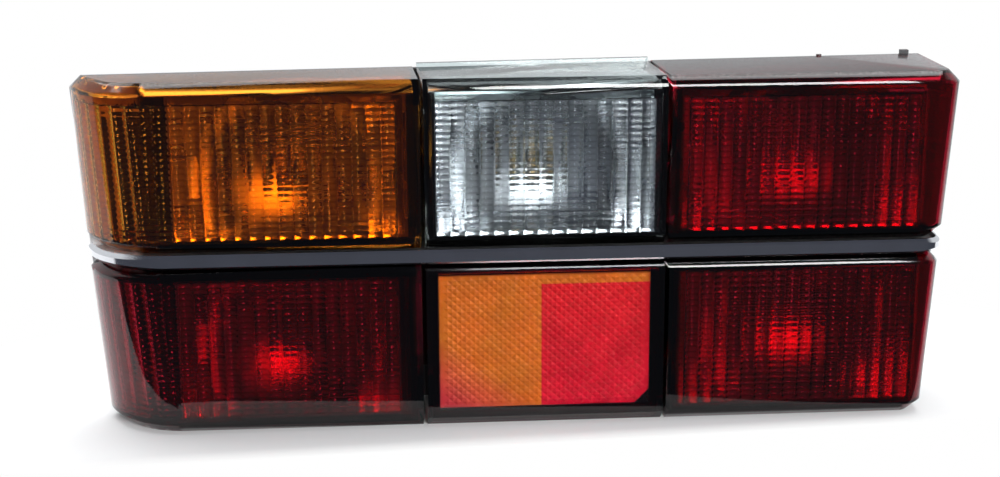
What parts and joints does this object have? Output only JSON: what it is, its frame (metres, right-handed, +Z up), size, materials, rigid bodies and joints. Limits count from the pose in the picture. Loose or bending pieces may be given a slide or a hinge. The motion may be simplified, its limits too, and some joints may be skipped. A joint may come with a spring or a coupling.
{
  "type": "tail light cluster",
  "caption": "Tail light cluster with amber, clear and red lens cells in two rows, a bright strip between the rows, and bulbs on a plate at the back.",
  "frame": {"origin": "centre of the stud pattern, on the plane of the gasket's rear face that meets the car's body", "axes": "+X along the cluster towards its inner end, +Y into the car along the studs, +Z up; the lenses face -Y"},
  "size_m": [0.4268, 0.1038, 0.1743],
  "materials": {
    "amber_plastic": "clear moulded amber, glossy",
    "clear_plastic": "clear moulded, glossy",
    "red_plastic": "clear moulded red, glossy",
    "reflex_cover": "clear moulded red, glossy",
    "reflex_plastic": "prismatic, red and orange",
    "bright_trim": "bright metallised plastic",
    "metallised": "vacuum metallised plastic",
    "housing_plastic": "moulded grey, fine grain",
    "carrier_plastic": "moulded pale grey",
    "knob_plastic": "moulded black",
    "bulb_glass": "clear glass on a metal cap",
    "socket_steel": "zinc plated",
    "contact_brass": "rolled strip",
    "stud_steel": "zinc plated",
    "seal_foam": "closed cell foam",
    "gasket_rubber": "soft rubber"
  },
  "bodies": {
    "root": {"amber_lens": "amber_plastic", "clear_lens": "clear_plastic", "upper_red_lens": "red_plastic", "lower_outer_red_lens": "red_plastic", "reflex_lens": "reflex_cover", "lower_inner_red_lens": "red_plastic", "trim_strip": "bright_trim", "reflex_insert": "reflex_plastic", "reflex_backing": "metallised", "housing": "housing_plastic", "amber_tray": "metallised", "reversing_tray": "metallised", "upper_red_tray": "metallised", "tail_tray": "metallised", "brake_tray": "metallised", "amber_bulb": "bulb_glass", "reversing_bulb": "bulb_glass", "upper_red_bulb": "bulb_glass", "tail_bulb": "bulb_glass", "brake_bulb": "bulb_glass", "amber_socket": "socket_steel", "reversing_socket": "socket_steel", "upper_red_socket": "socket_steel", "tail_socket": "socket_steel", "brake_socket": "socket_steel", "contact_springs": "contact_brass", "upper_contact_strip": "contact_brass", "lower_contact_strip": "contact_brass", "bulb_carrier": "carrier_plastic", "carrier_seal": "seal_foam", "carrier_knobs": "knob_plastic", "connector_shell": "knob_plastic", "connector_blades": "contact_brass", "mounting_studs": "stud_steel", "body_gasket": "gasket_rubber"}
  },
  "joints": []
}
